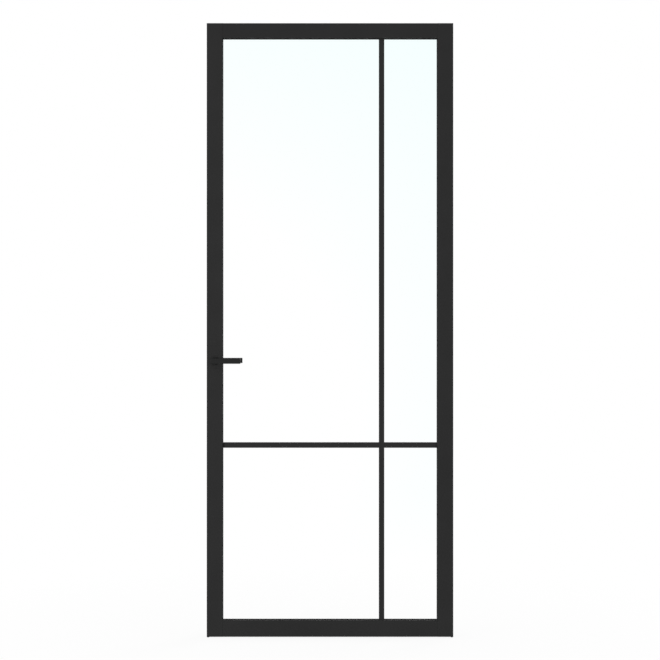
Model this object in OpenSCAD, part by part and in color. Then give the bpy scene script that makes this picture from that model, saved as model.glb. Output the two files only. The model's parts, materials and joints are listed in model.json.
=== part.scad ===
// Glazed interior door: slim black aluminium leaf with one pane, applied
// glazing bars, a lever latch and three flush barrel hinges, in a flat steel
// frame that the rebated leaf laps and hides from the front.
// X runs along the width with the handle at -X, +Y is the rear side and +Z is
// up. The origin is on the floor, at mid width and mid thickness of the leaf.

/* [Leaf] */
// Width of the leaf over its lips
leaf_w = 930; // [780:1:1150]
// Height of the leaf over its top lip
leaf_h = 2315; // [1900:1:2600]
// Thickness of the leaf
leaf_t = 40; // [38:1:54]
// Clear height between the floor and the leaf
floor_gap = 5; // [3:0.5:12]
// Face width of the two stiles
stile_w = 60; // [56:0.5:90]
// Face width of the top rail
top_rail_w = 56; // [50:0.5:90]
// Face width of the bottom rail
bottom_rail_w = 62.5; // [50:0.5:140]
// Wall of the extruded profiles
profile_wall = 2; // [1.5:0.1:2.5]
// Thicker wall along the edge that takes the hinges and the lock
edge_wall = 5; // [4.5:0.1:6]
// Small radius along the long edges of the profiles and bars
edge_r = 1; // [0.5:0.1:1.5]

/* [Rebate] */
// Thickness of the lip that laps the frame
lip_t = 16; // [15:0.5:18]
// Gap between the edge of the leaf and the inner face of the frame
leaf_gap = 3; // [2.5:0.1:4]
// Gap between the lip and the frame, which the seal fills
seal_gap = 4; // [3:0.1:5]

/* [Glazing] */
// Thickness of the toughened pane
glass_t = 8; // [6:0.5:10]
// Depth of the pane inside the profiles
glass_bite = 10; // [7:0.5:12]
// Gasket on each face of the pane
gasket_t = 3; // [2:0.1:3.5]
// Gasket round the edge of the pane
gasket_web = 2; // [1:0.1:2.5]
// Thickness of the setting blocks below the pane
block_t = 3; // [2:0.1:4]
// Length of a setting block
block_l = 80; // [50:1:120]

/* [Glazing bars] */
// Width of the bars
bar_w = 20; // [15:0.5:30]
// Thickness of a bar on one face of the pane
bar_t = 7; // [4:0.5:8]
// Thickness of the bonding tape below a bar
tape_t = 1; // [0.6:0.1:2]
// Distance of the tape from the edge of its bar
tape_inset = 3; // [1:0.5:5]
// Width of the narrow panes beside the upright bar
side_pane_w = 200; // [120:1:300]
// Height of the low panes below the cross bar
lower_pane_h = 650; // [300:1:900]

/* [Frame] */
// Thickness of the flat steel of the frame
jamb_t = 8; // [8:0.5:10]
// Depth of the frame
jamb_d = 80; // [70:1:140]
// Diameter of the holes for the wall fixings
fixing_d = 8; // [6:0.5:10]
// Distance of the wall fixings from the rear edge of the frame
fixing_back = 22; // [15:1:35]
// Distance from the ends of a jamb to its outer fixings
fixing_end = 150; // [100:1:400]
// Spacing of the inner two fixings of a jamb
fixing_mid = 700; // [300:1:900]
// Diameter of the screws that join the head to the jambs
corner_screw_d = 3; // [2.5:0.5:3.5]
// Length of those screws
corner_screw_l = 30; // [20:1:45]
// Width of the frame seal
seal_w = 6; // [4:0.5:7]

/* [Hinges] */
// Diameter of the hinge barrel
barrel_d = 12; // [11:0.5:13]
// Diameter of the hinge pin
hinge_pin_d = 7; // [5:0.5:8]
// Height of one knuckle
knuckle_h = 40; // [30:1:60]
// Thickness of the washer between two knuckles
washer_t = 1; // [0.5:0.1:2]
// Thickness of the hinge plates
plate_t = 3; // [2.5:0.1:3.5]
// Depth of the plate in the frame
frame_plate_d = 26; // [20:0.5:32]
// Depth of the plate on the leaf, from the lip
leaf_plate_d = 20; // [16:0.5:22]
// Distance of the outer hinges from the ends of the leaf
hinge_end = 210; // [150:1:350]
// Diameter of the hinge screws
hinge_screw_d = 4; // [3:0.5:4.5]
// Length of the hinge screws on the leaf
leaf_screw_l = 14; // [10:1:18]

/* [Latch] */
// Height of the handle above the floor
handle_z = 1046; // [850:1:1200]
// Distance of the handle from the edge of the lip
handle_inset = 29; // [28.5:0.1:30]
// Length of the faceplate
faceplate_l = 160; // [130:1:220]
// Width of the faceplate
faceplate_w = 18; // [16:0.5:19]
// Thickness of the faceplate
faceplate_t = 3; // [2.5:0.1:3.5]
// Thickness of the lock case
case_t = 15; // [13:0.5:15]
// Wall of the lock case
case_wall = 1.5; // [1:0.1:2]
// Reach of the latch bolt past the faceplate
latch_throw = 9.5; // [6:0.1:10]
// Thickness of the latch bolt
latch_t = 11; // [8:0.5:11]
// Height of the latch bolt
latch_h = 14; // [12:0.5:18]
// Length of the strike plate
strike_l = 90; // [70:1:140]
// Thickness of the strike plate
strike_t = 2; // [1.5:0.1:3]
// Diameter of the screws in the faceplate and the strike plate
lock_screw_d = 4; // [3:0.5:4.5]
// Turn of the lever
lever_turn = 40; // [25:1:45]

/* [Handle] */
// Length of the lever from the spindle to its tip
lever_l = 101; // [90:1:150]
// Height of the lever bar
lever_h = 20; // [17:0.5:26]
// Thickness of the lever bar
lever_t = 10; // [7:0.5:14]
// Distance from the face of the leaf to the front of the lever
lever_reach = 60; // [48:1:75]
// Diameter of the neck of the lever
neck_d = 16; // [15:0.5:20]
// Diameter of the rosette
rosette_d = 30; // [27:0.5:40]
// Thickness of the rosette
rosette_t = 5; // [3:0.5:8]
// Side of the square spindle
spindle_s = 8; // [7:0.5:9]

/* [Fits] */
// Radial clearance of a running fit
run_fit = 0.05; // [0.02:0.01:0.1]
// Radial clearance of a fixed fit and of screws in their holes
fixed_fit = 0.05; // [0.02:0.01:0.1]
// Clearance round a plate in its recess
seat_fit = 0.15; // [0.1:0.05:0.3]
// Clearance of the sliding latch bolt
slide_fit = 0.2; // [0.1:0.05:0.4]
// Clearance between a soft seal and what it meets
soft_fit = 0.3; // [0.2:0.05:0.6]

/* [Hidden] */
$fn = 48;
eps = 0.01;
over = 1;

// Planes of the leaf
leaf_x = leaf_w / 2;
face_y = leaf_t / 2;
leaf_top = floor_gap + leaf_h;
lip_w = jamb_t + leaf_gap;
lip_y = -face_y + lip_t;
opening_w = leaf_w - 2 * stile_w;
opening_z0 = floor_gap + bottom_rail_w;
opening_z1 = leaf_top - top_rail_w;
opening_h = opening_z1 - opening_z0;

// Groove and chambers of the profiles
groove_w = glass_t + 2 * gasket_t;
groove_d = glass_bite + gasket_web + block_t;
flange_t = (leaf_t - groove_w) / 2;

// Screws that hold the rails between the stiles, with their blocks and plugs
rail_screw_d = 4;
rail_head_d = 7;
rail_access_d = 8;
rail_screw_pitch = 12;
rail_grip = 25;
rail_screw_l = groove_d + profile_wall + rail_grip;
block_past = 10;
plug_t = 6;

// Bars, by the centre lines of the upright and of the cross bar
bar_x = opening_w / 2 - side_pane_w - bar_w / 2;
bar_z = opening_z0 + lower_pane_h + bar_w / 2;
bar_y = glass_t / 2 + tape_t;

// Frame
jamb_y = lip_y + seal_gap;
jamb_in = leaf_x - jamb_t;
jamb_h = leaf_top - jamb_t;
edge_x = leaf_x - lip_w;
seal_t = seal_gap - soft_fit;
fixing_y = jamb_y + jamb_d - fixing_back;
fixing_zs = [
    fixing_end,
    jamb_h / 2 - fixing_mid / 2,
    jamb_h / 2 + fixing_mid / 2,
    jamb_h - fixing_end
];
corner_screw_ys = [jamb_y + jamb_d / 4, jamb_y + 3 * jamb_d / 4];

// Hinges, whose axis is the centre of the round rear edge of the lip
barrel_r = barrel_d / 2;
hinge_x = leaf_x - barrel_r;
hinge_y = lip_y - barrel_r;
hinge_h = 2 * knuckle_h + washer_t;
hinge_zs = [
    floor_gap + hinge_end,
    floor_gap + leaf_h / 2,
    leaf_top - hinge_end
];
hinge_clear = 0.5;
blind_end = 3;
pin_end = 0.5;

// Lock
spindle_x = -leaf_x + handle_inset;
case_gap = 0.5;
lock_y = face_y - profile_wall - case_gap - case_t / 2;
latch_tip_x = -edge_x - latch_throw;
case_x0 = -edge_x + faceplate_t;
case_x1 = -leaf_x + stile_w - groove_d - profile_wall - over;
case_below = 30;
case_above = 36;
hub_d = 18;
journal_d = 16;
tip_r = 2.5;
arm_t = 5;
arm_r = latch_throw / (2 * sin(lever_turn / 2));
arm_gap = 0.45;
finger_t = 3;
finger_x = spindle_x - latch_throw / 2 + tip_r + arm_gap;
finger_z = handle_z + arm_r * cos(lever_turn / 2);
latch_z = handle_z + hub_d / 2 + over;
tail_h = 5;
tail_gap = 1.5;
tail_z = handle_z + arm_r + tip_r + tail_gap;
head_gap = 4;
head_end_x = finger_x - 2 * tip_r - arm_gap - head_gap;
latch_mid = latch_z + latch_h / 2;
strike_past = 4;
strike_d = face_y - jamb_y + strike_past;
spring_wire = 1;
spring_turns = 2;

// Handle
spigot_d = neck_d + 6;
spigot_l = profile_wall;
socket_l = 26;
neck_in = 1.5;
grub_d = 4;
grub_sink = 0.5;
grub_up = 8;
grub_y = face_y + rosette_t + grub_up;
spindle_l = 2 * (face_y - neck_in + socket_l - over);

black = "#2f3131";
dark = "#262828";
rubber = "#1c1c1d";
pale_glass = [0.85, 0.95, 0.95, 0.35];
steel = "#b9bcbe";
brass = "#c9a85a";
nylon = "#3a3a3a";

// Flat shapes

// What is left over when the corner at the origin is rounded by r
module corner_waste(r) {
    difference() {
        translate([-over, -over]) square(r + over);
        translate([r, r]) circle(r);
    }
}

// Rectangle from the origin with round corners
module round_rect(size, r) {
    translate([r, 0]) square([size.x - 2 * r, size.y]);
    translate([0, r]) square([size.x, size.y - 2 * r]);
    for (x = [r, size.x - r], y = [r, size.y - r]) translate([x, y]) circle(r);
}

// Slot with full round ends along the second direction, centred
module capsule(w, l) {
    translate([-w / 2, -l / 2 + w / 2]) square([w, l - w]);
    for (s = [-1, 1]) translate([0, s * (l - w) / 2]) circle(d = w);
}

// Outline of a profile from its outer edge to its glazed edge at w
module profile_outline(w, rebated) {
    start = rebated ? lip_w : 0;
    difference() {
        translate([0, -face_y]) square([w, leaf_t]);
        if (rebated) translate([-over, lip_y]) square([lip_w + over, leaf_t]);
        translate([0, -face_y]) corner_waste(edge_r);
        translate([w, -face_y]) rotate(90) corner_waste(edge_r);
        translate([w, face_y]) rotate(180) corner_waste(edge_r);
        translate([start, face_y]) rotate(270) corner_waste(edge_r);
        if (rebated) translate([0, lip_y]) rotate(270) corner_waste(barrel_r);
    }
}

// Main chamber of a profile, drawn smaller all round by inset
module chamber(w, rebated, inset = 0) {
    start = (rebated ? lip_w : 0) + edge_wall + inset;
    end = w - groove_d - profile_wall - inset;
    side = face_y - profile_wall - inset;
    lip_side = lip_y - profile_wall - inset;
    lip_start = profile_wall + inset;
    translate([start, -side]) square([end - start, 2 * side]);
    if (rebated) difference() {
        translate([lip_start, -side]) square([start + eps - lip_start, lip_side + side]);
        translate([lip_start, lip_side]) rotate(270)
            corner_waste(barrel_r - profile_wall - inset);
    }
}

// Section of an extruded profile with its glazing groove
module profile_section(w, rebated) {
    hollow = flange_t - 2 * profile_wall;
    difference() {
        profile_outline(w, rebated);
        translate([w - groove_d, -groove_w / 2]) square([groove_d + over, groove_w]);
        chamber(w, rebated);
        for (y = [-face_y + profile_wall, face_y - profile_wall - hollow])
            translate([w - groove_d, y]) square([groove_d - profile_wall, hollow]);
    }
}

// Section of a glazing bar, lying on the line y = 0
module bar_section() {
    difference() {
        translate([-bar_w / 2, 0]) square([bar_w, bar_t]);
        translate([-bar_w / 2, bar_t]) rotate(270) corner_waste(edge_r);
        translate([bar_w / 2, bar_t]) rotate(180) corner_waste(edge_r);
    }
}

// Shared solids

// Countersunk screw with its head at the origin, pointing along +Z
module flat_screw(d, l) {
    cylinder(d1 = 2 * d, d2 = d, h = d / 2);
    cylinder(d = d, h = l);
}

// Hole for that screw
module flat_screw_hole(d, l) {
    wide = d + 2 * fixed_fit;
    translate([0, 0, -eps]) cylinder(d1 = 2 * d + 2 * fixed_fit, d2 = wide, h = d / 2 + eps);
    translate([0, 0, -over]) cylinder(d = 2 * d + 2 * fixed_fit, h = over);
    cylinder(d = wide, h = l);
}

// Waste along the top of a stile or its plug, so that the lip turns the corner
module top_rebate_waste() {
    span = leaf_w + 2 * over;
    translate([-span / 2, lip_y, leaf_top - lip_w]) cube([span, leaf_t, lip_w + over]);
    translate([-span / 2, lip_y, leaf_top]) rotate([90, 0, 90]) rotate(180)
        linear_extrude(span) corner_waste(barrel_r);
}

module at_hinges() {
    for (z = hinge_zs) translate([0, 0, z]) children();
}

// Screw places on a hinge plate, as heights above the foot of a knuckle
module at_plate_screws(x, y, foot, turn) {
    for (share = [1 / 4, 3 / 4])
        translate([x, y, foot + share * knuckle_h]) rotate([0, turn, 0]) children();
}

module leaf_plate_screws() {
    at_plate_screws(edge_x, lip_y + leaf_plate_d / 2, hinge_h / 2 - knuckle_h, -90) children();
}

module frame_plate_screws() {
    at_plate_screws(jamb_in, jamb_y + frame_plate_d / 2, -hinge_h / 2, 90) children();
}

// Door frame

module fixing_holes(side) {
    for (z = fixing_zs) translate([side * jamb_in, fixing_y, z]) rotate([0, side * 90, 0])
        flat_screw_hole(fixing_d - 2 * fixed_fit, jamb_t + over);
}

module jamb_bar(side) {
    difference() {
        translate([min(side * jamb_in, side * leaf_x), jamb_y, 0]) cube([jamb_t, jamb_d, jamb_h]);
        fixing_holes(side);
        at_corner_screws(side) flat_screw_hole(corner_screw_d, corner_screw_l + over);
    }
}

module at_corner_screws(side) {
    for (y = corner_screw_ys)
        translate([side * (leaf_x - jamb_t / 2), y, leaf_top]) rotate([180, 0, 0]) children();
}

module hinge_jamb() {
    color(black) difference() {
        jamb_bar(1);
        at_hinges() {
            translate([jamb_in - over, jamb_y - over, -hinge_h / 2 - seat_fit])
                cube([plate_t + over, frame_plate_d + over + seat_fit, knuckle_h + 2 * seat_fit]);
            frame_plate_screws() flat_screw_hole(hinge_screw_d, jamb_t + over);
        }
    }
}

module lock_jamb() {
    color(black) difference() {
        jamb_bar(-1);
        translate([-jamb_in - strike_t, jamb_y - over, latch_mid - strike_l / 2 - seat_fit])
            cube([strike_t + over, strike_d + over + seat_fit, strike_l + 2 * seat_fit]);
        latch_hole();
        at_strike_screws() flat_screw_hole(lock_screw_d, jamb_t + over);
    }
}

module head_jamb() {
    color(black) difference() {
        translate([-leaf_x, jamb_y, jamb_h]) cube([leaf_w, jamb_d, jamb_t]);
        for (side = [-1, 1]) at_corner_screws(side)
            flat_screw_hole(corner_screw_d, corner_screw_l + over);
    }
}

module jamb_corner_screws() {
    color(steel) for (side = [-1, 1]) at_corner_screws(side)
        flat_screw(corner_screw_d, corner_screw_l);
}

// Seal strip with a round back, standing on the front edge of the frame
module seal_section() {
    r = min(seal_t, seal_w / 2) / 2;
    difference() {
        translate([-seal_w / 2, -seal_t]) square([seal_w, seal_t]);
        translate([-seal_w / 2, -seal_t]) corner_waste(r);
        translate([seal_w / 2, -seal_t]) rotate(90) corner_waste(r);
    }
}

module side_seal(side) {
    translate([side * (leaf_x - jamb_t / 2), jamb_y, 0]) linear_extrude(jamb_h) seal_section();
}

module hinge_side_seal() {
    color(rubber) difference() {
        side_seal(1);
        at_hinges() translate([0, jamb_y - over - seal_t, -hinge_h / 2 - over])
            cube([leaf_w, seal_t + 2 * over, hinge_h + 2 * over]);
    }
}

module lock_side_seal() {
    color(rubber) side_seal(-1);
}

module head_seal() {
    color(rubber) translate([-leaf_x, jamb_y, leaf_top - jamb_t / 2]) rotate([90, 0, 90])
        rotate(270) linear_extrude(leaf_w) seal_section();
}

module at_strike_screws() {
    for (s = [-1, 1])
        translate([-jamb_in, lock_y, latch_mid + s * strike_l / 3]) rotate([0, -90, 0]) children();
}

module latch_hole() {
    room = 1;
    translate([-leaf_x - over, lock_y - latch_t / 2 - room, latch_z - room])
        cube([jamb_t + 2 * over, latch_t + 2 * room, latch_h + 2 * room]);
}

// Strike plate, from the front edge of the frame to just behind the leaf
module strike_plate() {
    color(steel) difference() {
        translate([-jamb_in - strike_t, jamb_y, latch_mid - strike_l / 2])
            cube([strike_t, strike_d, strike_l]);
        latch_hole();
        at_strike_screws() flat_screw_hole(lock_screw_d, jamb_t);
    }
}

module strike_screws() {
    color(steel) at_strike_screws() flat_screw(lock_screw_d, jamb_t - over);
}

// Hinges

module knuckle(foot, bore_foot, bore_h, bore_d) {
    difference() {
        union() {
            translate([hinge_x, hinge_y, foot]) cylinder(d = barrel_d, h = knuckle_h);
            children();
        }
        translate([hinge_x, hinge_y, bore_foot]) cylinder(d = bore_d, h = bore_h);
    }
}

module hinge_frame_half(z) {
    color(black) translate([0, 0, z]) difference() {
        knuckle(-hinge_h / 2, -hinge_h / 2 - over, knuckle_h + 2 * over, hinge_pin_d + 2 * fixed_fit)
            translate([jamb_in, hinge_y, -hinge_h / 2])
                cube([plate_t, jamb_y - hinge_y + frame_plate_d, knuckle_h]);
        frame_plate_screws() flat_screw_hole(hinge_screw_d, jamb_t);
    }
}

module hinge_leaf_half(z) {
    foot = hinge_h / 2 - knuckle_h;
    color(black) translate([0, 0, z]) difference() {
        knuckle(foot, foot - over, knuckle_h - blind_end + over, hinge_pin_d + 2 * run_fit) {
            translate([edge_x - plate_t, lip_y - plate_t, foot])
                cube([hinge_x - edge_x + plate_t, plate_t, knuckle_h]);
            translate([edge_x - plate_t, lip_y - plate_t, foot])
                cube([plate_t, leaf_plate_d + plate_t, knuckle_h]);
        }
        leaf_plate_screws() flat_screw_hole(hinge_screw_d, leaf_screw_l);
    }
}

module hinge_pin(z) {
    color(steel) translate([hinge_x, hinge_y, z - hinge_h / 2])
        cylinder(d = hinge_pin_d, h = hinge_h - blind_end - pin_end);
}

module hinge_washer(z) {
    color(brass) translate([hinge_x, hinge_y, z - hinge_h / 2 + knuckle_h]) difference() {
        cylinder(d = barrel_d, h = washer_t);
        translate([0, 0, -over]) cylinder(d = hinge_pin_d + 2 * run_fit, h = washer_t + 2 * over);
    }
}

module hinge_frame_screws() {
    color(steel) at_hinges() frame_plate_screws() flat_screw(hinge_screw_d, jamb_t - over);
}

module hinge_leaf_screws() {
    color(steel) at_hinges() leaf_plate_screws() flat_screw(hinge_screw_d, leaf_screw_l);
}

// Leaf

// Long profile on the handle side, before its cut-outs
module stile_bar() {
    difference() {
        translate([-leaf_x, 0, floor_gap]) linear_extrude(leaf_h) profile_section(stile_w, true);
        top_rebate_waste();
        at_rail_screws(-1) cylinder(d = rail_screw_d + 2 * fixed_fit, h = rail_screw_l);
        at_rail_screws(-1) translate([0, 0, -stile_w]) cylinder(d = rail_access_d, h = stile_w);
    }
}

// Two screws to a corner, through the rear flange of the stile, where the
// frame hides the holes that a driver reaches them by
module at_rail_screws(side) {
    top_mid = leaf_top - (lip_w + edge_wall + top_rail_w - groove_d - profile_wall) / 2;
    low_mid = floor_gap + (edge_wall + bottom_rail_w - groove_d - profile_wall) / 2;
    for (z = [low_mid, top_mid], s = [-1, 1])
        translate([side * (leaf_x - stile_w + groove_d + profile_wall),
                   face_y - flange_t / 2, z + s * rail_screw_pitch / 2])
            rotate([0, -side * 90, 0]) children();
}

module rail_screws() {
    color(steel) for (side = [-1, 1]) at_rail_screws(side) {
        cylinder(d = rail_screw_d, h = rail_screw_l);
        translate([0, 0, -rail_screw_d / 2])
            cylinder(d = rail_head_d, h = rail_screw_d / 2);
    }
}

module lock_stile() {
    color(black) difference() {
        stile_bar();
        translate([-edge_x - over, lock_y, latch_mid]) rotate([90, 0, 90])
            linear_extrude(faceplate_t + over)
                capsule(faceplate_w + 2 * seat_fit, faceplate_l + 2 * seat_fit);
        translate([-edge_x - over, lock_y - case_t / 2 - seat_fit, handle_z - case_below - seat_fit])
            cube([faceplate_t + edge_wall + 2 * over, case_t + 2 * seat_fit,
                  case_below + case_above + 2 * seat_fit]);
        at_faceplate_screws() flat_screw_hole(lock_screw_d, faceplate_t + edge_wall + over);
        translate([spindle_x, -face_y - over, handle_z]) rotate([-90, 0, 0])
            cylinder(d = spigot_d + 2 * fixed_fit, h = leaf_t + 2 * over);
    }
}

module hinge_stile() {
    front_in = -face_y + profile_wall;
    foot = -hinge_h / 2 - hinge_clear;
    color(black) difference() {
        mirror([1, 0, 0]) stile_bar();
        at_hinges() {
            translate([edge_x - plate_t - hinge_clear, front_in, foot])
                cube([lip_w + plate_t + hinge_clear + over, lip_y - front_in + eps,
                      hinge_h + 2 * hinge_clear]);
            translate([edge_x - plate_t, lip_y - over, hinge_h / 2 - knuckle_h - seat_fit])
                cube([plate_t + over, leaf_plate_d + over + seat_fit, knuckle_h + 2 * seat_fit]);
            leaf_plate_screws() flat_screw_hole(hinge_screw_d, leaf_screw_l);
        }
    }
}

module rail_screw_holes() {
    for (side = [-1, 1]) at_rail_screws(side)
        cylinder(d = rail_screw_d + 2 * fixed_fit, h = rail_screw_l + over);
}

module top_rail() {
    color(black) translate([-opening_w / 2, 0, leaf_top]) rotate([0, 90, 0])
        linear_extrude(opening_w) profile_section(top_rail_w, true);
}

module bottom_rail() {
    color(black) translate([opening_w / 2, 0, floor_gap]) rotate([0, -90, 0])
        linear_extrude(opening_w) profile_section(bottom_rail_w, false);
}

// Blocks inside the ends of the rails, which take the rail screws
module corner_blocks() {
    block = rail_screw_l + block_past;
    color(steel) difference() {
        for (side = [-1, 1]) {
            translate([side > 0 ? opening_w / 2 - block : -opening_w / 2, 0, leaf_top])
                rotate([0, 90, 0]) linear_extrude(block) chamber(top_rail_w, true, seat_fit);
            translate([side > 0 ? opening_w / 2 : -opening_w / 2 + block, 0, floor_gap])
                rotate([0, -90, 0]) linear_extrude(block) chamber(bottom_rail_w, false, seat_fit);
        }
        rail_screw_holes();
    }
}

// Plastic plugs in the open ends of the stiles
module stile_end_plugs() {
    color(nylon) for (side = [0, 1]) mirror([side, 0, 0]) {
        translate([-leaf_x, 0, floor_gap]) linear_extrude(plug_t)
            chamber(stile_w, true, seat_fit);
        difference() {
            translate([-leaf_x, 0, leaf_top - lip_w - plug_t]) linear_extrude(lip_w + plug_t)
                chamber(stile_w, true, seat_fit);
            top_rebate_waste();
        }
    }
}

// Plate centred on the opening, standing past it by grow on every side
module opening_plate(t, grow) {
    translate([-opening_w / 2 - grow, -t / 2, opening_z0 - grow])
        cube([opening_w + 2 * grow, t, opening_h + 2 * grow]);
}

module glass_pane() {
    color(pale_glass) opening_plate(glass_t, glass_bite);
}

module glazing_gasket() {
    color(rubber) difference() {
        opening_plate(groove_w, glass_bite + gasket_web);
        opening_plate(groove_w + over, 0);
        opening_plate(glass_t, glass_bite);
    }
}

module setting_blocks() {
    color(nylon) for (s = [-1, 1])
        translate([s * opening_w / 4 - block_l / 2, -groove_w / 2 + seat_fit,
                   opening_z0 - groove_d])
            cube([block_l, groove_w - 2 * seat_fit, block_t]);
}

// Bars are drawn on the rear face and turned to the front
module on_face(front) {
    mirror([0, front ? 1 : 0, 0]) children();
}

module upright_bar(front) {
    color(black) on_face(front) translate([bar_x, bar_y, opening_z0])
        linear_extrude(opening_h) bar_section();
}

module cross_bar(front, x0, x1) {
    color(black) on_face(front) translate([x0, bar_y, bar_z]) rotate([90, 0, 90])
        linear_extrude(x1 - x0) rotate(270) bar_section();
}

module wide_cross_bar(front) {
    cross_bar(front, -opening_w / 2, bar_x - bar_w / 2);
}

module narrow_cross_bar(front) {
    cross_bar(front, bar_x + bar_w / 2, opening_w / 2);
}

module bar_tape(front) {
    w = bar_w - 2 * tape_inset;
    color(rubber) on_face(front) {
        translate([bar_x - w / 2, glass_t / 2, opening_z0]) cube([w, tape_t, opening_h]);
        for (span = [[-opening_w / 2, bar_x - bar_w / 2], [bar_x + bar_w / 2, opening_w / 2]])
            translate([span[0], glass_t / 2, bar_z - w / 2])
                cube([span[1] - span[0], tape_t, w]);
    }
}

// Lock

module at_faceplate_screws() {
    for (s = [-1, 1])
        translate([-edge_x, lock_y, latch_mid + s * (faceplate_l / 2 - faceplate_w / 2)])
            rotate([0, 90, 0]) children();
}

module latch_slot(x0, x1) {
    translate([x0, lock_y - latch_t / 2 - slide_fit, latch_z - slide_fit])
        cube([x1 - x0, latch_t + 2 * slide_fit, latch_h + 2 * slide_fit]);
}

module faceplate() {
    color(steel) difference() {
        translate([-edge_x, lock_y, latch_mid]) rotate([90, 0, 90])
            linear_extrude(faceplate_t) capsule(faceplate_w, faceplate_l);
        latch_slot(-edge_x - over, -edge_x + faceplate_t + over);
        at_faceplate_screws() flat_screw_hole(lock_screw_d, faceplate_t + over);
    }
}

module faceplate_screws() {
    color(steel) at_faceplate_screws() flat_screw(lock_screw_d, faceplate_t + edge_wall + over);
}

// Box of the lock, shrunk by inset from its own outside
module case_box(inset) {
    translate([case_x0 + inset, lock_y - case_t / 2 + inset, handle_z - case_below + inset])
        cube([case_x1 - case_x0 - 2 * inset, case_t - 2 * inset,
              case_below + case_above - 2 * inset]);
}

module follower_bore() {
    translate([spindle_x, lock_y - case_t / 2 - over, handle_z]) rotate([-90, 0, 0])
        cylinder(d = journal_d + 2 * run_fit, h = case_t + 2 * over);
}

// Half space that the cover takes from the case
module cover_slab() {
    translate([case_x0 - over, lock_y + case_t / 2 - case_wall, handle_z - case_below - over])
        cube([case_x1 - case_x0 + 2 * over, case_wall + over, case_below + case_above + 2 * over]);
}

module lock_case() {
    color(steel) difference() {
        case_box(0);
        case_box(case_wall);
        cover_slab();
        follower_bore();
        latch_slot(case_x0 - over, case_x0 + case_wall + over);
    }
}

module lock_cover() {
    color(steel) difference() {
        intersection() {
            case_box(0);
            cover_slab();
        }
        follower_bore();
    }
}

// Closed turns of the return spring, round the hub on the front side
module return_spring() {
    mean_r = journal_d / 2 + soft_fit + spring_wire / 2;
    pitch = 0.95 * spring_wire;
    color(steel) translate([spindle_x, lock_y - case_t / 2 + case_wall, handle_z]) rotate([-90, 0, 0])
        rotate_extrude() for (i = [0 : spring_turns - 1])
            translate([mean_r, spring_wire / 2 + i * pitch]) circle(d = spring_wire);
}

// Hub with its square hole and the arm that draws the latch back
module follower() {
    flange = case_t - 2 * case_wall;
    color(steel) translate([spindle_x, lock_y, handle_z]) rotate([-90, 0, 0]) difference() {
        union() {
            translate([0, 0, -case_t / 2]) cylinder(d = journal_d, h = case_t);
            translate([0, 0, -arm_t / 2]) linear_extrude(flange / 2 + arm_t / 2 - soft_fit) circle(d = hub_d);
            translate([0, 0, -arm_t / 2]) linear_extrude(arm_t) rotate(-lever_turn / 2) {
                translate([-tip_r, -arm_r]) square([2 * tip_r, arm_r]);
                translate([0, -arm_r]) circle(tip_r);
            }
        }
        cube([spindle_s + 2 * fixed_fit, spindle_s + 2 * fixed_fit, case_t + 2 * over], center = true);
    }
}

// Bolt with a bevelled nose, a tail over the follower and a finger at its arm
module latch_bolt() {
    half = latch_t / 2;
    blunt = 3;
    color(steel) {
        translate([latch_tip_x, lock_y, latch_z]) linear_extrude(latch_h) polygon([
            [0, -half],
            [head_end_x - latch_tip_x, -half],
            [head_end_x - latch_tip_x, half],
            [latch_t - blunt, half],
            [0, -half + blunt]
        ]);
        translate([head_end_x - eps, lock_y - arm_t / 2, tail_z])
            cube([finger_x + finger_t - head_end_x + eps, arm_t, tail_h]);
        translate([finger_x, lock_y - arm_t / 2, finger_z])
            cube([finger_t, arm_t, tail_z + tail_h - finger_z]);
    }
}

// Handle

// Parts of the handle are drawn on the rear side and turned to the front
module rosette(front) {
    color(dark) on_face(front) translate([spindle_x, face_y, handle_z]) rotate([-90, 0, 0])
        difference() {
            rotate_extrude() difference() {
                union() {
                    square([rosette_d / 2, rosette_t]);
                    translate([0, -spigot_l]) square([spigot_d / 2, spigot_l]);
                }
                translate([rosette_d / 2, rosette_t]) rotate(180) corner_waste(edge_r);
            }
            translate([0, 0, -spigot_l - over])
                cylinder(d = neck_d + 2 * run_fit, h = spigot_l + rosette_t + 2 * over);
        }
}

// Neck with a square socket, and a flat bar with round edges
module lever(front) {
    neck_y = face_y - neck_in;
    bar_l = lever_l + neck_d / 2;
    round_r = lever_t / 5;
    color(dark) on_face(front) difference() {
        union() {
            translate([spindle_x, neck_y, handle_z]) rotate([-90, 0, 0])
                cylinder(d = neck_d, h = neck_in + lever_reach - lever_t / 2);
            intersection() {
                translate([spindle_x - neck_d / 2, face_y + lever_reach - lever_t, handle_z - lever_h / 2])
                    rotate([90, 0, 90]) linear_extrude(bar_l) round_rect([lever_t, lever_h], round_r);
                translate([spindle_x - neck_d / 2, face_y + lever_reach + over, handle_z - lever_h / 2])
                    rotate([90, 0, 0]) linear_extrude(lever_t + 2 * over) round_rect([bar_l, lever_h], round_r);
            }
        }
        translate([spindle_x, neck_y + socket_l / 2 - over / 2, handle_z])
            cube([spindle_s + 2 * fixed_fit, socket_l + over, spindle_s + 2 * fixed_fit], center = true);
        at_grub_screw() cylinder(d = grub_d + 2 * fixed_fit, h = neck_d);
    }
}

module at_grub_screw() {
    translate([spindle_x, grub_y, handle_z - spindle_s / 2 - fixed_fit]) rotate([180, 0, 0]) children();
}

module lever_grub_screws() {
    color(steel) for (front = [true, false]) on_face(front) at_grub_screw()
        translate([0, 0, fixed_fit]) cylinder(d = grub_d, h = (neck_d - spindle_s) / 2 - grub_sink);
}

module spindle() {
    color(steel) translate([spindle_x, 0, handle_z])
        cube([spindle_s, spindle_l, spindle_s], center = true);
}

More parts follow.
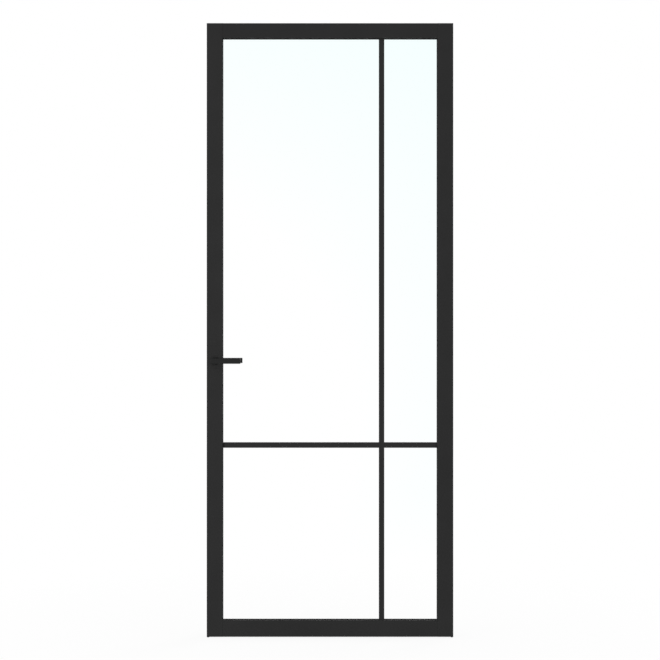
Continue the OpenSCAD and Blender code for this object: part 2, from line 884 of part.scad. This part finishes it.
hinge_jamb();
lock_jamb();
head_jamb();
jamb_corner_screws();
hinge_side_seal();
lock_side_seal();
head_seal();
strike_plate();
strike_screws();
hinge_frame_half(hinge_zs[0]);  // lower_hinge_frame_half
hinge_frame_half(hinge_zs[1]);  // middle_hinge_frame_half
hinge_frame_half(hinge_zs[2]);  // upper_hinge_frame_half
hinge_pin(hinge_zs[0]);  // lower_hinge_pin
hinge_pin(hinge_zs[1]);  // middle_hinge_pin
hinge_pin(hinge_zs[2]);  // upper_hinge_pin
hinge_washer(hinge_zs[0]);  // lower_hinge_washer
hinge_washer(hinge_zs[1]);  // middle_hinge_washer
hinge_washer(hinge_zs[2]);  // upper_hinge_washer
hinge_frame_screws();
lock_stile();
hinge_stile();
top_rail();
bottom_rail();
corner_blocks();
rail_screws();
stile_end_plugs();
glass_pane();
glazing_gasket();
setting_blocks();
upright_bar(true);  // front_upright_bar
upright_bar(false);  // rear_upright_bar
wide_cross_bar(true);  // front_wide_cross_bar
narrow_cross_bar(true);  // front_narrow_cross_bar
wide_cross_bar(false);  // rear_wide_cross_bar
narrow_cross_bar(false);  // rear_narrow_cross_bar
bar_tape(true);  // front_bar_tape
bar_tape(false);  // rear_bar_tape
hinge_leaf_half(hinge_zs[0]);  // lower_hinge_leaf_half
hinge_leaf_half(hinge_zs[1]);  // middle_hinge_leaf_half
hinge_leaf_half(hinge_zs[2]);  // upper_hinge_leaf_half
hinge_leaf_screws();
faceplate();
faceplate_screws();
lock_case();
lock_cover();
return_spring();
rosette(true);  // front_rosette
rosette(false);  // rear_rosette
lever(true);  // front_lever
lever(false);  // rear_lever
spindle();
follower();
lever_grub_screws();
latch_bolt();
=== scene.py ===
"""Looks of a slim black glass door: a finish for every solid, and beads, tapes, seals and screw sockets."""

import json
import math

import bmesh
import bpy
import numpy as np
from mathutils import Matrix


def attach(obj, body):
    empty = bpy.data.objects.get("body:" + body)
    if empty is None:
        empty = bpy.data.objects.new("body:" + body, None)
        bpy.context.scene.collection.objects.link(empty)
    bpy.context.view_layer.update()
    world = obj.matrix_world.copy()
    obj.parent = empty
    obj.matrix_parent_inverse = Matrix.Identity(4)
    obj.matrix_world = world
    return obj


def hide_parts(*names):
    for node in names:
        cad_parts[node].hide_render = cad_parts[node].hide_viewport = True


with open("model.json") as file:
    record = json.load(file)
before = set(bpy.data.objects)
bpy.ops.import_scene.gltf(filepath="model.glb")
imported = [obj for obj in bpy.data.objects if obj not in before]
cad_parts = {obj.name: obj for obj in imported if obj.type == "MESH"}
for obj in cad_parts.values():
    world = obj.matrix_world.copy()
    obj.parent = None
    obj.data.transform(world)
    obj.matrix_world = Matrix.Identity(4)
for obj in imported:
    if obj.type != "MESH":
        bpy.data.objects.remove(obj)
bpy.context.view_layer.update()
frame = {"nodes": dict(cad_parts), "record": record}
scene = bpy.context.scene

# One millimetre in metres
MM = 0.001
# Matting agents in the coats and carbon in the rubber halve the mirror part of their gloss
SHEEN = 0.25
# The span of values that a noise texture mostly fills
NOISE_SPAN = {"From Min": 0.3, "From Max": 0.7}


def srgb(text):
    """A hex colour as the linear RGBA that shader sockets take."""
    parts = [int(text[i:i + 2], 16) / 255 for i in (1, 3, 5)]
    linear = [c / 12.92 if c <= 0.04045 else ((c + 0.055) / 1.055) ** 2.4 for c in parts]
    return (*linear, 1.0)


# Finishes

def add(tree, kind, links=None, sockets=None, **settings):
    """One shader node with its settings, the constants on its sockets and its links from other sockets."""
    made = tree.nodes.new("ShaderNode" + kind)
    for key, value in settings.items():
        setattr(made, key, value)
    for key, value in (sockets or {}).items():
        made.inputs[key].default_value = value
    for key, source in (links or {}).items():
        tree.links.new(source, made.inputs[key])
    return made.outputs


def blank(name):
    """An empty finish, its tree and its Object coordinates in metres."""
    made = bpy.data.materials.new(name)
    made.use_nodes = True
    made.node_tree.nodes.clear()
    return made, made.node_tree, add(made.node_tree, "TexCoord")["Object"]


def grit(size_mm):
    """Noise scale at which one blob is about size_mm across."""
    return 1000 / size_mm


def baked_coat(name, dark, light, rubbed, peel_mm, roughness):
    """Coat baked on metal: orange peel of peel_mm, faint 140 mm clouds, and edges rubbed lighter in places.

    The rub is where a normal rounded over 0.9 mm leaves the true one, broken up by 9 mm blotches.
    """
    made, tree, place = blank(name)
    peel = add(tree, "TexNoise", {"Vector": place}, {"Scale": grit(peel_mm), "Detail": 3.0})[0]
    clouds = add(tree, "TexNoise", {"Vector": place}, {"Scale": grit(140), "Detail": 4.0})[0]
    blotches = add(tree, "TexNoise", {"Vector": place}, {"Scale": grit(9), "Detail": 4.0})[0]
    tone = add(tree, "MapRange", {"Value": clouds}, NOISE_SPAN)[0]
    base = add(tree, "MixRGB", {"Fac": tone}, {"Color1": srgb(dark), "Color2": srgb(light)})[0]
    rounded = add(tree, "Bevel", sockets={"Radius": 0.9 * MM}, samples=4)[0]
    true = add(tree, "NewGeometry")["Normal"]
    along = add(tree, "VectorMath", {0: rounded, 1: true}, operation="DOT_PRODUCT")["Value"]
    edge = add(tree, "MapRange", {"Value": along}, {"From Min": 1.0, "From Max": 0.4})[0]
    rub = add(tree, "Math", {0: edge, 1: blotches}, operation="MULTIPLY")[0]
    colour = add(tree, "MixRGB", {"Fac": rub, "Color1": base}, {"Color2": srgb(rubbed)})[0]
    dull = add(tree, "MapRange", {"Value": peel},
               {**NOISE_SPAN, "To Min": roughness - 0.05, "To Max": roughness + 0.06})[0]
    broken = add(tree, "Bevel", sockets={"Radius": 0.4 * MM}, samples=4)[0]
    skin = add(tree, "Bump", {"Height": peel, "Normal": broken},
               {"Strength": 0.35, "Distance": 0.03 * MM})[0]
    coat = add(tree, "BsdfPrincipled", {"Base Color": colour, "Roughness": dull, "Normal": skin},
               {"IOR": 1.5, "Specular IOR Level": SHEEN})[0]
    add(tree, "OutputMaterial", {"Surface": coat})
    return made


def bare_metal(name, dark, light, grain_mm, roughness):
    """Bare metal: grain drawn to grain_mm along each axis, and 6 mm clouds in its tone."""
    made, tree, place = blank(name)
    drawn = add(tree, "Mapping", {"Vector": place}, {"Scale": tuple(grit(g) for g in grain_mm)})[0]
    lines = add(tree, "TexNoise", {"Vector": drawn}, {"Scale": 1.0, "Detail": 2.0})[0]
    clouds = add(tree, "TexNoise", {"Vector": place}, {"Scale": grit(6), "Detail": 4.0})[0]
    tone = add(tree, "MapRange", {"Value": clouds}, NOISE_SPAN)[0]
    colour = add(tree, "MixRGB", {"Fac": tone}, {"Color1": srgb(dark), "Color2": srgb(light)})[0]
    dull = add(tree, "MapRange", {"Value": lines},
               {**NOISE_SPAN, "To Min": roughness - 0.08, "To Max": roughness + 0.1})[0]
    broken = add(tree, "Bevel", sockets={"Radius": 0.2 * MM}, samples=4)[0]
    skin = add(tree, "Bump", {"Height": lines, "Normal": broken},
               {"Strength": 0.3, "Distance": 0.01 * MM})[0]
    metal = add(tree, "BsdfPrincipled", {"Base Color": colour, "Roughness": dull, "Normal": skin},
                {"Metallic": 1.0})[0]
    add(tree, "OutputMaterial", {"Surface": metal})
    return made


def soft_skin(name, dark, light, grain_mm, roughness, ior):
    """Rubber, foam and moulded plastic: a fine skin of grain_mm and a tone that wanders over 25 mm."""
    made, tree, place = blank(name)
    grain = add(tree, "TexNoise", {"Vector": place},
                {"Scale": grit(grain_mm), "Detail": 4.0, "Roughness": 0.65})[0]
    clouds = add(tree, "TexNoise", {"Vector": place}, {"Scale": grit(25), "Detail": 4.0})[0]
    tone = add(tree, "MapRange", {"Value": clouds}, NOISE_SPAN)[0]
    colour = add(tree, "MixRGB", {"Fac": tone}, {"Color1": srgb(dark), "Color2": srgb(light)})[0]
    dull = add(tree, "MapRange", {"Value": grain},
               {**NOISE_SPAN, "To Min": roughness - 0.08, "To Max": roughness + 0.08})[0]
    broken = add(tree, "Bevel", sockets={"Radius": 0.25 * MM}, samples=4)[0]
    skin = add(tree, "Bump", {"Height": grain, "Normal": broken},
               {"Strength": 0.4, "Distance": 0.03 * MM})[0]
    body = add(tree, "BsdfPrincipled", {"Base Color": colour, "Roughness": dull, "Normal": skin},
               {"IOR": ior, "Specular IOR Level": SHEEN})[0]
    add(tree, "OutputMaterial", {"Surface": body})
    return made


def float_glass(name, white, cool):
    """Toughened float glass with a faint cool tint and faint smears, its colour laid out as a painted
    reflection:
    white near a spot on the lock side, cooler in rings round it.

    The painted reflection starts 0.85 m from the spot, is full at 1.85 m, and fades out lower than 0.55 m
    above the floor.
    The smears are about 60 mm wide and 170 mm high.
    Shadow and diffuse rays pass straight through, so that the pane doesn't darken what stands behind it.
    """
    made, tree, place = blank(name)
    # Painted reflection: the glass colour goes from white at this spot to the cool tint further away and
    # higher up
    painted_reflection_centre, pane_plane = (-0.75, 0.0, 0.85), (1.0, 0.0, 1.0)
    offset = add(tree, "VectorMath", {0: place}, {1: painted_reflection_centre}, operation="SUBTRACT")[0]
    flat = add(tree, "VectorMath", {0: offset}, {1: pane_plane}, operation="MULTIPLY")[0]
    away = add(tree, "VectorMath", {0: flat}, operation="LENGTH")["Value"]
    painted_reflection_ring = add(tree, "MapRange", {"Value": away}, {"From Min": 0.85, "From Max": 1.85})[0]
    height = add(tree, "SeparateXYZ", {"Vector": place})["Z"]
    above = add(tree, "MapRange", {"Value": height}, {"From Min": 0.3, "From Max": 0.55})[0]
    tone = add(tree, "Math", {0: painted_reflection_ring, 1: above}, operation="MULTIPLY")[0]
    tint_with_painted_reflection = add(tree, "MixRGB", {"Fac": tone}, {"Color1": srgb(white), "Color2": srgb(cool)})[0]
    wiped = add(tree, "Mapping", {"Vector": place}, {"Scale": (grit(60), grit(60), grit(170))})[0]
    smears = add(tree, "TexNoise", {"Vector": wiped}, {"Scale": 1.0, "Detail": 5.0})[0]
    haze = add(tree, "MapRange", {"Value": smears},
               {"From Min": 0.45, "From Max": 0.75, "To Max": 0.012})[0]
    pane = add(tree, "BsdfPrincipled", {"Base Color": tint_with_painted_reflection, "Roughness": haze},
               {"IOR": 1.52, "Transmission Weight": 1.0})[0]
    rays = add(tree, "LightPath")
    straight = add(tree, "Math", {0: rays["Is Shadow Ray"], 1: rays["Is Diffuse Ray"]},
                   operation="MAXIMUM")[0]
    clear = add(tree, "BsdfTransparent", {"Color": tint_with_painted_reflection})[0]
    mixed = add(tree, "MixShader", {0: straight, 1: pane, 2: clear})[0]
    add(tree, "OutputMaterial", {"Surface": mixed})
    return made


# Polyester powder coat on drawn profiles: near black, fine peel and a dull even sheen
leaf_coat = baked_coat("powder_coat_on_aluminium", "#222222", "#272727", "#484a4a", 1.3, 0.7)
# The same coat on rolled flat steel, with a coarser peel
jamb_coat = baked_coat("powder_coat_on_steel", "#212121", "#262626", "#484a4a", 1.8, 0.7)
# Sprayed lacquer on the handle: smoother and darker, so that the lever parts from the stile behind it
handle_lacquer = baked_coat("satin_lacquer_on_steel", "#070808", "#0b0c0c", "#4a4d4d", 0.7, 0.42)
# Extruded EPDM: soft black without gloss
seal_rubber = soft_skin("extruded_epdm_rubber", "#121213", "#191a1a", 0.5, 0.78, 1.5)
# Closed acrylic foam: fully dull, a dark line below the bars
tape_foam = soft_skin("acrylic_foam", "#0e0e0f", "#151516", 0.25, 0.9, 1.47)
# Injection moulded nylon: dark grey with a slight gloss
plug_nylon = soft_skin("moulded_nylon", "#232324", "#2b2b2c", 0.8, 0.55, 1.53)
# Zinc plating: cool grey with faint clouds and no direction
zinc_plate = bare_metal("zinc_plate_on_steel", "#a4a7aa", "#c3c6c9", (2, 2, 2), 0.38)
# Brushed stainless steel: lines that run up the lock edge, drawn coarser than real ones so that they show
brushed_stainless = bare_metal("brushed_stainless_steel", "#b9bbbc", "#c3c5c6", (0.6, 0.6, 30), 0.32)
# Turned brass: warm rings between the knuckles
turned_brass = bare_metal("turned_brass", "#b08d4a", "#cbaa63", (0.4, 0.4, 2), 0.3)
# Cast aluminium: pale and grainy, inside the corners of the leaf
cast_aluminium = bare_metal("die_cast_aluminium", "#9da0a3", "#b8bbbe", (1.5, 1.5, 1.5), 0.5)
# Painted shade: a dark steel tone on raised lobed discs stands in for the shade inside each screw's drive
drive_painted_shade = bare_metal("painted_shade_in_screw_drives", "#232425", "#313233", (1, 1, 1), 0.5)
# Float glass: almost invisible, with a faint cool tint spread out as a painted reflection
pane_glass = float_glass("toughened_float_glass", "#ffffff", "#f4ffff")

finishes = {
    "coated_aluminium": leaf_coat, "coated_steel": jamb_coat, "black_handle": handle_lacquer,
    "rubber": seal_rubber, "foam_tape": tape_foam, "nylon": plug_nylon, "brass": turned_brass,
    "zinc_plated_steel": zinc_plate, "stainless_steel": brushed_stainless,
    "cast_aluminium": cast_aluminium, "glass": pane_glass,
}
for part in frame["record"]["subparts"]:
    solid = frame["nodes"][part["node"]].data
    solid.materials.clear()
    solid.materials.append(finishes[part["material_slot"]])


# Surfaces of the added pieces, with all their lengths in mm

# Points closer than a thousandth of a millimetre are one, and a fold of more than 35 degrees is a sharp edge
SAME_POINT, SHARP_FROM = 0.001 * MM, math.radians(35)


def quads(rows, columns, closed=False):
    """Corner numbers of the quads of a grid of points; closed joins the last column to the first."""
    number = np.arange(rows * columns).reshape(rows, columns)
    if closed:
        number = np.concatenate([number, number[:, :1]], 1)
    return np.stack([number[:-1, :-1], number[:-1, 1:], number[1:, 1:], number[1:, :-1]], -1)


def add_piece(name, points_mm, faces, finish, body, slot, stands_for=()):
    """A closed smooth mesh from points in mm, with its faces turned outwards, that rides on a body."""
    mesh = bpy.data.meshes.new(name)
    mesh.from_pydata((np.reshape(points_mm, (-1, 3)) * MM).tolist(), [], faces)
    work = bmesh.new()
    work.from_mesh(mesh)
    bmesh.ops.remove_doubles(work, verts=work.verts, dist=SAME_POINT)
    bmesh.ops.recalc_face_normals(work, faces=work.faces)
    work.to_mesh(mesh)
    work.free()
    mesh.polygons.foreach_set("use_smooth", np.ones(len(mesh.polygons), bool))
    mesh.set_sharp_from_angle(angle=SHARP_FROM)
    mesh.materials.append(finish)
    made = bpy.data.objects.new(name, mesh)
    scene.collection.objects.link(made)
    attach(made, body)
    if stands_for:
        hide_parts(*stands_for)


# Glazing beads: the rubber edge that shows all round the pane on both faces
opening_mid, opening_half = np.array((0.0, 1165.75)), np.array((405.0, 1098.25))
corners = np.array([(-1, -1), (1, -1), (1, 1), (-1, 1)])
half_pane, bead_wide, bead_proud, bead_points = 4, 3, 1.4, 13


def glazing_bead(side):
    """P(u, v) = the outline of the opening at v, moved in by a(u) and set at depth y(u), in mm.

    a(u) = bead_proud sin(pi u) and y(u) = side (half_pane + bead_wide u): half a wave between the pane and
    the profile, closed by its flat base. Each side of the outline runs from mitre to mitre.
    """
    u = np.append(np.linspace(0, 1, bead_points), 0)
    ends = np.stack([corners, np.roll(corners, -1, 0)], 1).reshape(-1, 2)
    inset = opening_half - bead_proud * np.sin(np.pi * u)[:, None, None]
    flat = opening_mid + ends * inset
    depth = np.broadcast_to(side * (half_pane + bead_wide * u)[:, None], flat.shape[:2])
    points = np.stack([flat[..., 0], depth, flat[..., 1]], -1)
    return points, quads(*depth.shape)[:, ::2].reshape(-1, 4).tolist()


add_piece("front_glazing_bead", *glazing_bead(-1), seal_rubber, "leaf", "rubber")
add_piece("rear_glazing_bead", *glazing_bead(1), seal_rubber, "leaf", "rubber")


# Soft strips of one section, bonding tapes and seals, with rings of points at most ring_gap apart
ring_gap = 120


def carried(section, runs):
    """P(u, v) = place(s(u), h(u), v): a section (s, h) carried along v from low to high on each straight run.

    Each run has two flat ends and its own place, which turns s, h and v into x, y and z in mm.
    """
    count = len(section)
    points, faces = [], []
    for low, high, place in runs:
        v = np.linspace(low, high, 2 + int((high - low) / ring_gap))
        start = sum(map(len, points))
        along, s = np.meshgrid(v, section[:, 0], indexing="ij")
        h = np.broadcast_to(section[:, 1], along.shape)
        points.append(np.stack(np.broadcast_arrays(*place(s, h, along)), -1).reshape(-1, 3))
        last = start + (len(v) - 1) * count
        faces += (start + quads(len(v), count, closed=True)).reshape(-1, 4).tolist()
        faces += [list(range(start, start + count)), list(range(last, last + count))]
    return np.concatenate(points), faces


# Foam tapes between the pane and the glazing bars
half_tape, half_thick, tape_bulge, edge_points = 7, 0.5, 0.35, 9
bar_x, bar_z, half_bar = 195, 727.5, 10
tape_low, tape_high = opening_mid - opening_half + bead_proud, opening_mid + opening_half - bead_proud


def tape_section():
    """Outline (s, h) in mm of a pressed tape: two flat faces, and edges that bulge as the half ellipse
    s = half_tape + tape_bulge cos t, h = half_thick (1 + sin t) for t from -90 to 90 degrees."""
    t = np.radians(np.linspace(-90, 90, edge_points))
    edge = np.stack([half_tape + tape_bulge * np.cos(t), half_thick * (1 + np.sin(t))], 1)
    return np.concatenate([edge, edge[::-1] * (-1, 1)])


def bar_tapes(side):
    """The tape sections carried up the upright bar and along the two cross bars on one face of the pane."""
    def upright(s, h, v):
        return bar_x + s, side * (half_pane + h), v

    def across(s, h, v):
        return v, side * (half_pane + h), bar_z + s

    return carried(tape_section(), [(tape_low[1], tape_high[1], upright),
                                    (tape_low[0], bar_x - half_bar, across),
                                    (bar_x + half_bar, tape_high[0], across)])


add_piece("front_bar_foam_tape", *bar_tapes(-1), tape_foam, "leaf", "foam_tape", ["front_bar_tape"])
add_piece("rear_bar_foam_tape", *bar_tapes(1), tape_foam, "leaf", "foam_tape", ["rear_bar_tape"])


# Bulb seals on the front edge of the frame
bulb_r, bulb_up, bulb_points = 1.6, 2.1, 28
seal_foot = np.array([(3.0, 0.0), (3.0, 0.55), (2.6, 0.75), (1.7, 0.85)])
hinge_heights, hinge_room = np.array((215.0, 1162.5, 2110.0)), 41.5
jamb_mid, jamb_top = 461, 2312.0
head_mid, head_end = 2316, 465.0


def bulb_section():
    """Outline (s, h) in mm of a bulb seal: seal_foot and its mirror below a bulb that is the arc
    s = bulb_r cos t, h = bulb_up + bulb_r sin t for t from -40 to 220 degrees."""
    t = np.radians(np.linspace(-40, 220, bulb_points))
    bulb = np.stack([bulb_r * np.cos(t), bulb_up + bulb_r * np.sin(t)], 1)
    return np.concatenate([seal_foot, bulb, seal_foot[::-1] * (-1, 1)])


def up_jamb(side):
    """The place of a seal on the front edge of the jamb on one side."""
    return lambda s, h, v: (side * jamb_mid + s, -h, v)


stops = [0.0, *(hinge_heights[:, None] + (-hinge_room, hinge_room)).ravel(), jamb_top]
add_piece("hinge_side_bulb_seal",
          *carried(bulb_section(), [(*span, up_jamb(1)) for span in zip(stops[::2], stops[1::2])]),
          seal_rubber, "frame", "rubber", ["hinge_side_seal"])
add_piece("lock_side_bulb_seal",
          *carried(bulb_section(), [(0.0, jamb_top, up_jamb(-1))]),
          seal_rubber, "frame", "rubber", ["lock_side_seal"])
add_piece("head_bulb_seal",
          *carried(bulb_section(), [(-head_end, head_end, lambda s, h, v: (v, -h, head_mid + s))]),
          seal_rubber, "frame", "rubber", ["head_seal"])


# Drive sockets in the heads of the screws on the two edges that face each other: raised lobed discs whose
# dark colour is painted shade for the recess
socket_r, socket_lobe, socket_brim = 1.7, 0.13, 1.25
dish_proud, lip_proud, lip_wide = 0.01, 0.05, 0.12
lobes, dish_rows, rim_points = 6, 11, 48


def drive_sockets(centres, outward):
    """P(u, v) = centre + r(u, v) e(v) + h(u) outward, in mm: a lobed dish in a low lip.

    r = socket_r u (1 + socket_lobe u cos(lobes v)), h = dish_proud + lip_proud exp(-((u - 1) / lip_wide)^2),
    and e(v) turns round outward. The last two rows lead back to the centre at h = 0, on the face of the head.
    """
    rows = np.append(np.linspace(0, socket_brim, dish_rows), (socket_brim, 0))
    u, v = np.meshgrid(rows, np.linspace(0, 2 * np.pi, rim_points, endpoint=False), indexing="ij")
    reach = socket_r * u * (1 + socket_lobe * u * np.cos(lobes * v))
    lip = dish_proud + lip_proud * np.exp(-(((u - 1) / lip_wide) ** 2))
    lip[-2:] = 0
    dish = np.stack([outward * lip, reach * np.cos(v), reach * np.sin(v)], -1).reshape(-1, 3)
    points = np.asarray(centres)[:, None, :] + dish
    faces = quads(*u.shape, closed=True).reshape(-1, 4)
    every = faces + (np.arange(len(points)) * len(dish))[:, None, None]
    return points, every.reshape(-1, 4).tolist()


# Faces of the heads, on the leaf's edges and on the jambs
leaf_edge, jamb_face = 454, 457
leaf_hinge_y, frame_hinge_y, lock_y = 6, 13, 10
near_screw, far_screw = 10.5, 30.5
latch_height, faceplate_reach, strike_reach = 1063, 71, 30
leaf_hinge_screws = [(leaf_edge, leaf_hinge_y, z + up)
                     for z in hinge_heights for up in (near_screw, far_screw)]
frame_hinge_screws = [(jamb_face, frame_hinge_y, z - down)
                      for z in hinge_heights for down in (far_screw, near_screw)]
faceplate_screws = [(-leaf_edge, lock_y, latch_height + s * faceplate_reach) for s in (-1, 1)]
strike_screws = [(-jamb_face, lock_y, latch_height + s * strike_reach) for s in (-1, 1)]
add_piece("leaf_hinge_sockets", *drive_sockets(leaf_hinge_screws, 1),
          drive_painted_shade, "leaf", "zinc_plated_steel")
add_piece("faceplate_sockets", *drive_sockets(faceplate_screws, -1),
          drive_painted_shade, "leaf", "zinc_plated_steel")
add_piece("frame_hinge_sockets", *drive_sockets(frame_hinge_screws, -1),
          drive_painted_shade, "frame", "zinc_plated_steel")
add_piece("strike_sockets", *drive_sockets(strike_screws, 1),
          drive_painted_shade, "frame", "zinc_plated_steel")


# White stage: camera, mirror and glass rays see plain white, and the board keeps a soft shadow

def seen_white(tree):
    """1 for the rays that should see the white surround, and 0 for those that light the door."""
    rays = add(tree, "LightPath")
    first = add(tree, "Math", {0: rays["Is Camera Ray"], 1: rays["Is Glossy Ray"]},
                operation="MAXIMUM")[0]
    return add(tree, "Math", {0: first, 1: rays["Is Transmission Ray"]}, operation="MAXIMUM")[0]


def painted_board():
    """White board: a little matt paint near the door keeps the shadow, and 2 m away it is plain white."""
    made, tree, place = blank("matt_painted_board")
    flat = add(tree, "VectorMath", {0: place}, {1: (1.0, 1.0, 0.0)}, operation="MULTIPLY")[0]
    away = add(tree, "VectorMath", {0: flat}, operation="LENGTH")["Value"]
    fade = add(tree, "MapRange", {"Value": away},
               {"From Min": 0.3, "From Max": 2.0, "To Min": 0.92})[0]
    paint = add(tree, "BsdfDiffuse", sockets={"Color": srgb("#ffffff")})[0]
    white = add(tree, "Emission", {"Strength": seen_white(tree)})[0]
    mixed = add(tree, "MixShader", {0: fade, 1: paint, 2: white})[0]
    add(tree, "OutputMaterial", {"Surface": mixed})
    return made


# The board lies half a millimetre low, so that it shares no plane with the feet of the jambs
floor_half, floor_z = 9, -0.5 * MM
board_mesh = bpy.data.meshes.new("floor")
board_mesh.from_pydata([(x * floor_half, y * floor_half, floor_z) for x, y in corners.tolist()], [],
                       [(0, 1, 2, 3)])
board_mesh.materials.append(painted_board())
board = bpy.data.objects.new("floor", board_mesh)
scene.collection.objects.link(board)

scene.world = bpy.data.worlds.new("white_surround")
scene.world.use_nodes = True
sky = scene.world.node_tree
sky.nodes.clear()
dim = add(sky, "Background", sockets={"Color": srgb("#ffffff"), "Strength": 0.6})[0]
white = add(sky, "Background", sockets={"Color": srgb("#ffffff"), "Strength": 1.0})[0]
surround = add(sky, "MixShader", {0: seen_white(sky), 1: dim, 2: white})[0]
add(sky, "OutputWorld", {"Surface": surround})

# The lamps leave out the pane and the bevelled bolt, so that neither mirrors a lamp as a flat white patch
unlit = bpy.data.collections.new("not_lit_by_lamps")
for shiny in ("glass_pane", "latch_bolt"):
    unlit.objects.link(frame["nodes"][shiny])
for held in unlit.collection_objects:
    held.light_linking.link_state = "EXCLUDE"
door_middle = np.array((0, 0, 1.2))


def add_lamp(name, place, size, watts):
    """A square area lamp that faces the middle of the door, with its lower edge above the floor."""
    data = bpy.data.lights.new(name, "AREA")
    data.size, data.energy = size, watts
    made = bpy.data.objects.new(name, data)
    made.location = place
    x, y, z = door_middle - place
    made.rotation_euler = (math.atan2(math.hypot(x, y), -z), 0, math.atan2(y, x) - math.pi / 2)
    made.light_linking.receiver_collection = unlit
    scene.collection.objects.link(made)


add_lamp("key", (-3.8, -3.6, 0.8), 1.5, 92)
add_lamp("fill", (3.8, -3.0, 0.75), 1.4, 26)
add_lamp("rear", (2.6, 3.8, 3.4), 2.0, 70)

# Level camera at mid height of the leaf
camera = bpy.data.objects.new("camera", bpy.data.cameras.new("camera"))
camera.data.lens, camera.data.sensor_width = 93.63, 36.0
camera.location = (0.0, -6.495, 1.1625)
camera.rotation_euler = (math.pi / 2, 0, 0)
scene.collection.objects.link(camera)
scene.camera = camera

scene.view_settings.view_transform = "Standard"
